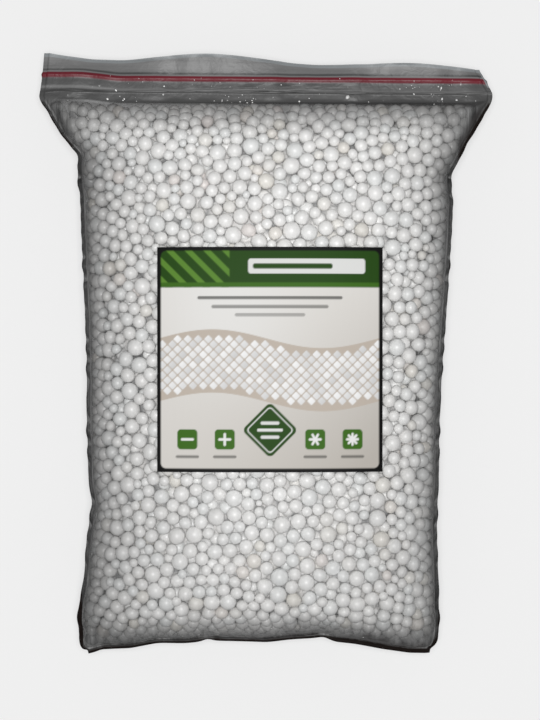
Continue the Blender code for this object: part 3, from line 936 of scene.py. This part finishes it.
def makeBeads(form):
    points, size, gap = packBeads(form)
    random = np.random.default_rng(beads["seed"] + 1)
    foamed = foamMaterial("bead_foam", foam["grain"], foam["coarse"])
    roughFoam = foamMaterial("torn_foam", foam["tornGrain"], foam["tornCoarse"])
    makeCore()
    turns = random.uniform(0, 2 * math.pi, (len(points), 3))
    tones = random.uniform(0, 1, len(points))
    sizes = size[:, None] * (1 + random.uniform(-beads["oval"], beads["oval"], (len(points), 3)))
    x, y, z = points.T
    # painted shade in the beads' colour, darker beside the seams and the foot
    shades = beads["leftShade"] * fade(film["halfWidth"] + x, beads["leftReach"])
    shades += beads["rightShade"] * fade(film["halfWidth"] - x, beads["rightReach"])
    shades *= 1 - beads["openShoulder"] * smoothStep(y, *beads["shoulderRange"])
    shades += beads["footShade"] * fade(y - y.min(), beads["footReach"])
    shades = np.clip(1 - shades * smoothStep(z, *beads["shadeRange"]), beads["darkest"], 1)
    front = z > view["seamHeight"]
    outer = gap < beads["frontLayer"]
    wanted = front | (gap < beads["hiddenDepth"]) | (z > beads["deepCut"])
    lot = random.uniform(0, 1, len(points))
    fromPatch = np.hypot(x - beads["roughPatch"][0], y - beads["roughPatch"][1])
    torn = lot < beads["torn"] + beads["patchShare"] * np.exp(-(fromPatch / beads["patchReach"]) ** 2)
    tones[torn] *= beads["tornTone"]
    dented = ~torn & (lot < beads["torn"] + beads["dented"])
    whole = ~torn & ~dented
    low = y < 0
    groups = {
        "front_beads": ("whole", front & outer & whole),
        "deep_beads": ("whole", front & ~outer & whole),
        "back_beads_upper": ("whole", ~front & whole & ~low),
        "back_beads_lower": ("whole", ~front & whole & low),
        "dented_beads": ("dented", dented),
        "torn_beads": ("torn", torn),
    }
    for name, (kind, group) in groups.items():
        group = group & wanted
        shape = beadShape(kind)
        piece = spreadBeads(name, shape, points[group], sizes[group], turns[group], tones[group],
                            shades[group])
        piece.data.materials.clear()
        piece.data.materials.append(roughFoam if kind == "torn" else foamed)
        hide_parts("bead_filling")
        bpy.data.objects.remove(shape)
    return points, size


# Label: a printed square of fields and simple shapes

label = {
    "left": -0.0463,
    "right": 0.0503,
    "low": -0.0506,
    "high": 0.0456,
    "squares": 240,  # of the sheet, along each side
    "startHeight": 0.1,
    "aboveFilm": 0.00045,
    "thickness": 0.00016,
    "roughness": 0.55,
    "shine": 0.10,
    "fibre": 1400.0,
    "waves": 55.0,
    "border": 1.6,  # from here on in millimetres on the label
    "innerRound": 2.2,
    "soft": 0.22,
    "seed": 4,
    "tilePitch": 4.4,
    "tileReach": 97,
    "tileTones": (0.62, 0.84),
    "waveFoot": 30,
    "waveTop": 57,
    "waveRise": 4,
    "waveLength": 15,
    "bandFoot": 79,
    "bandLine": 81,
    "stripePitch": 8,
    "stripeWidth": 3.2,
    "stripesTo": 31,
    "plates": [(64, 50, 6.4, 1.2), (58, 34, 2.2, 0.8)],  # place across, length, height and roundness
    "plateHeight": 88,
    "lines": [(74.5, 62, 0.8), (70.7, 50, 0.65), (67.2, 30, 0.5)],  # place, length and strength
    "lineWidth": 1.4,
    "blocks": (13.0, 29.0),  # from either side
    "blockHeight": 14.0,
    "blockSide": 8.6,
    "blockArm": 5.6,
    "underlineHeight": 6.6,
    "lozengeHeight": 18.0,
    "lozengeSide": 17,
    "ink": (0.004, 0.004, 0.004),
    "paper": (0.74, 0.72, 0.69),
    "shade": (0.47, 0.44, 0.40),
    "beige": (0.50, 0.44, 0.38),
    "darkGreen": (0.018, 0.062, 0.006),
    "green": (0.045, 0.135, 0.012),
    "brightGreen": (0.10, 0.23, 0.030),
    "lineGrey": (0.05, 0.05, 0.045),
    "white": (0.78, 0.78, 0.77),
}


def turned(x, y, cx, cy, degrees):
    turn = math.radians(degrees)
    dx, dy = x - cx, y - cy
    return dx * math.cos(turn) + dy * math.sin(turn), -dx * math.sin(turn) + dy * math.cos(turn)


def cover(distance):
    # 1 inside a shape, 0 outside it, with a soft edge
    return 1 - smoothStep(distance, -label["soft"], label["soft"])


def paint(printed, colour, share):
    printed += (np.array(colour) - printed) * share[:, None]


def barShape(x, y, cx, cy, width, height, roundness, degrees=0.0):
    across, along = turned(x, y, cx, cy, degrees)
    dx = np.abs(across) - width / 2 + roundness
    dy = np.abs(along) - height / 2 + roundness
    outside = np.hypot(np.clip(dx, 0, None), np.clip(dy, 0, None))
    return cover(outside + np.minimum(np.maximum(dx, dy), 0) - roundness)


def waveHeight(x, base):
    return base + label["waveRise"] * np.sin(x / label["waveLength"])


def paintTiles(printed, x, y, random):
    # small white lozenges in a beige wave across the middle
    foot, top = label["waveFoot"], label["waveTop"]
    wave = cover(np.maximum(y - waveHeight(x, top), waveHeight(x, foot) - y))
    paint(printed, label["beige"], wave)
    pitch = label["tilePitch"]
    for row in range(int(2 * (top - foot + 2 * label["waveRise"]) / pitch)):
        for column in range(int(label["tileReach"] / pitch) + 1):
            cx = (column + row % 2 / 2) * pitch
            cy = foot - label["waveRise"] + row * pitch / 2
            if not waveHeight(cx, foot) + pitch / 2 < cy < waveHeight(cx, top) - pitch / 2:
                continue
            near = (np.abs(x - cx) < pitch) & (np.abs(y - cy) < pitch)
            share = barShape(x[near], y[near], cx, cy, 0.60 * pitch, 0.60 * pitch, 0.5, 45)
            lit = random.uniform(*label["tileTones"]) + 0.10 * (y[near] - cy - x[near] + cx) / pitch
            printed[near] += (lit[:, None] - printed[near]) * share[:, None]


def paintLabel(x, y, width, height):
    random = np.random.default_rng(label["seed"])
    printed = np.tile(np.array(label["paper"]), (len(x), 1))
    paint(printed, label["shade"], np.clip(1.1 * (1 - y / height) * (0.35 + 0.65 * x / width), 0, 1))
    paint(printed, label["white"], 0.6 * np.exp(-((x - 30) ** 2 + (y - 70) ** 2) / 900))
    paintTiles(printed, x, y, random)
    # a band across the top, striped at its left, with a pale plate and a bar at its right
    band = 1 - cover(y - label["bandFoot"])
    pitch = label["stripePitch"]
    stripes = cover(np.abs((x + y) % pitch - pitch / 2) - label["stripeWidth"] / 2)
    stripes *= cover(x - label["stripesTo"])
    paint(printed, label["darkGreen"], band)
    paint(printed, label["brightGreen"], band * stripes)
    paint(printed, label["green"], band * cover(y - label["bandLine"]))
    plate, bar = label["plates"]
    paint(printed, label["white"], barShape(x, y, plate[0], label["plateHeight"], *plate[1:]) * 0.9)
    paint(printed, label["darkGreen"], barShape(x, y, bar[0], label["plateHeight"], *bar[1:]))
    for cy, length, share in label["lines"]:
        line = barShape(x, y, width / 2, cy, length, label["lineWidth"], 0.7)
        paint(printed, label["lineGrey"], line * share)
    # a row of square blocks at the foot, each over a short line
    left, inner = label["blocks"]
    side, cy = label["blockSide"], label["blockHeight"]
    for number, cx in enumerate((left, inner, width - inner, width - left)):
        paint(printed, label["green"], barShape(x, y, cx, cy, side, side, 1.6))
        line = barShape(x, y, cx, label["underlineHeight"], 10, 1.2, 0.6)
        paint(printed, label["lineGrey"], line * 0.7)
        for arm in range(number + 1):
            turn = 180 * arm / (number + 1)
            paint(printed, label["white"], barShape(x, y, cx, cy, label["blockArm"], 1.0, 0.5, turn))
    # a lozenge in the middle of the row, with a white outline and lines in it
    cx, cy, side = width / 2, label["lozengeHeight"], label["lozengeSide"]
    rings = [barShape(x, y, cx, cy, side - less, side - less, roundness, 45)
             for less, roundness in ((0, 2.2), (2.4, 1.6), (3.3, 1.3))]
    paint(printed, label["darkGreen"], rings[0])
    paint(printed, label["white"], (rings[1] - rings[2]) * 0.9)
    for rise, length in ((3.0, 8), (0.0, 11), (-3.0, 8)):
        paint(printed, label["white"], barShape(x, y, cx, cy + rise, length, 1.3, 0.6) * 0.9)
    borders = 2 * label["border"]
    inside = barShape(x, y, width / 2, height / 2, width - borders, height - borders, label["innerRound"])
    paint(printed, label["ink"], 1 - inside)
    return printed


def labelMaterial():
    material, nodes, links = newMaterial("label_print")
    colour = addNode(nodes, "ShaderNodeAttribute", attribute_name="labelPrint")
    fibre = objectTexture(nodes, links, "ShaderNodeTexNoise", {"Scale": label["fibre"], "Detail": 3.0})
    waves = objectTexture(nodes, links, "ShaderNodeTexNoise", {"Scale": label["waves"], "Detail": 2.0})
    height = addNode(nodes, "ShaderNodeMath", operation="MULTIPLY_ADD")
    height.inputs[1].default_value = 1.5
    links.new(waves.outputs[0], height.inputs[0])
    links.new(fibre.outputs[0], height.inputs[2])
    bump = bumpFrom(nodes, links, height.outputs[0], 0.12)
    paper = matteShader(nodes, links, colour.outputs["Color"], label["roughness"], label["shine"], bump)
    finishMaterial(nodes, links, paper)
    return material


def makeLabel(form):
    print("label")
    width, height = label["right"] - label["left"], label["high"] - label["low"]
    clearSelection()
    squares = label["squares"]
    bpy.ops.mesh.primitive_grid_add(x_subdivisions=squares, y_subdivisions=squares, size=1)
    sheet = bpy.context.object
    sheet.name = "label_sheet"
    sheet.scale = (width, height, 1)
    middle = ((label["left"] + label["right"]) / 2, (label["low"] + label["high"]) / 2)
    sheet.location = (*middle, label["startHeight"])
    settle(sheet)
    lay = sheet.modifiers.new("lay", "SHRINKWRAP")
    lay.target = form
    lay.wrap_method = "PROJECT"
    lay.use_project_x = lay.use_project_y = False
    lay.use_project_z = True
    lay.use_negative_direction = True
    lay.use_positive_direction = False
    lay.offset = label["aboveFilm"]
    applyModifiers(sheet)
    points = meshPoints(sheet)
    x, y = (points[:, 0] - label["left"]) * 1000, (points[:, 1] - label["low"]) * 1000
    printed = paintLabel(x, y, width * 1000, height * 1000)
    colours = sheet.data.color_attributes.new("labelPrint", "FLOAT_COLOR", "POINT")
    rgba = np.ones((len(points), 4), dtype=np.float32)
    rgba[:, :3] = printed
    colours.data.foreach_set("color", rgba.ravel())
    pick(sheet)
    bpy.ops.object.mode_set(mode="EDIT")
    bpy.ops.mesh.select_all(action="DESELECT")
    bpy.ops.mesh.select_non_manifold()
    bpy.ops.mesh.extrude_region_move(TRANSFORM_OT_translate={"value": (0, 0, -label["thickness"])})
    bpy.ops.object.mode_set(mode="OBJECT")
    sheet.data.materials.append(labelMaterial())
    bpy.ops.object.shade_smooth_by_angle(angle=math.radians(35))
    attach(sheet, "root")
    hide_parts("label")


# The zip strips stay as they are packed, and get their plastics

zipper = {
    "red": (0.17, 0.010, 0.020),
    "clear": (0.42, 0.44, 0.45),
    "roughness": 0.38,
    "shine": 0.4,
    "stretch": (40.0, 900.0, 900.0),  # fine lines along the strip
}


def stripMaterial(name, colour):
    material, nodes, links = newMaterial(name)
    noise = {"Scale": 1.0, "Detail": 4.0}
    lines = objectTexture(nodes, links, "ShaderNodeTexNoise", noise, zipper["stretch"])
    dark, bright = [tuple(share * part for part in colour) for share in (0.8, 1.15)]
    ramp = colourBand(nodes, [(0.3, dark), (0.7, bright)])
    links.new(lines.outputs[0], ramp.inputs[0])
    bump = bumpFrom(nodes, links, lines.outputs[0], 0.3)
    plastic = matteShader(nodes, links, ramp.outputs[0], zipper["roughness"], zipper["shine"], bump)
    finishMaterial(nodes, links, plastic)
    return material


def dressZip():
    print("zip strips")
    for node, material in (("zip_rib_strip", stripMaterial("red_strip", zipper["red"])),
                           ("zip_groove_strip", stripMaterial("clear_strip", zipper["clear"]))):
        strip = bpy.data.objects[node]
        strip.data.materials.clear()
        strip.data.materials.append(material)


# Crumbs of foam that cling to the header

crumbs = {
    "seed": 21,
    "count": 95,
    "size": 0.00019,
    # place across, place from the zip, and size
    "big": [(0.0365, -0.0078, 0.0011), (-0.0455, -0.0072, 0.0006), (-0.0665, -0.0056, 0.0005),
            (0.0785, -0.0082, 0.0006), (0.0850, -0.0086, 0.0005), (0.0660, -0.0060, 0.0005)],
    "clusters": [(0.078, 0.012), (-0.016, 0.012), (0.0, 0.055), (-0.075, 0.012)],  # middle and spread
    "clusterShares": (0.3, 0.25, 0.3, 0.15),
    "furthest": 0.094,
    "sizeSpread": 0.45,
    "proud": 0.3,  # share of a crumb's size that lifts its middle off the film
    "bands": [(-0.011, -0.006), (-0.0042, -0.0014), (-0.001, 0.001)],  # from the zip
    "bandShares": (0.55, 0.35, 0.10),
}


def makeCrumbs(form):
    print("crumbs")
    random = np.random.default_rng(crumbs["seed"])
    slope, level = zipLine()
    spots = list(crumbs["big"])
    while len(spots) < crumbs["count"]:
        cluster = random.choice(len(crumbs["clusters"]), p=crumbs["clusterShares"])
        x = float(random.normal(*crumbs["clusters"][cluster]))
        if abs(x) > crumbs["furthest"]:
            continue
        below = [random.uniform(*band) for band in crumbs["bands"]]
        below = float(random.choice(below, p=crumbs["bandShares"]))
        spots.append((x, below, crumbs["size"] * float(random.lognormal(0, crumbs["sizeSpread"]))))
    tree = BVHTree.FromObject(form, bpy.context.evaluated_depsgraph_get())
    points, sizes = [], []
    for x, below, size in spots:
        above = Vector((x, level + slope * x + below, 0.2))
        place, normal, _, _ = tree.ray_cast(above, Vector((0, 0, -1)))
        points.append(place + normal * size * crumbs["proud"])
        sizes.append([size * random.uniform(0.6, 1.6), size * random.uniform(0.6, 1.2), size * 0.7])
    clearSelection()
    bpy.ops.mesh.primitive_ico_sphere_add(subdivisions=1, radius=1)
    shape = bpy.context.object
    turns = np.zeros((len(points), 3))
    turns[:, 2] = random.uniform(0, math.pi, len(points))
    piece = spreadBeads("foam_crumbs", shape, np.array(points), np.array(sizes), turns,
                        random.uniform(0.3, 1, len(points)), random.uniform(0.5, 1, len(points)))
    piece.data.materials.clear()
    piece.data.materials.append(bpy.data.materials["bead_foam"])
    bpy.data.objects.remove(shape)


makeCamera()
makeLight()
makeFloor()
bag = makeFilmForm()
beadPoints, beadSizes = makeBeads(bag)
makeLabel(bag)
makeFilm(bag, beadPoints, beadSizes)
makeCrumbs(bag)
dressZip()
bpy.context.scene.view_settings.view_transform = "Standard"
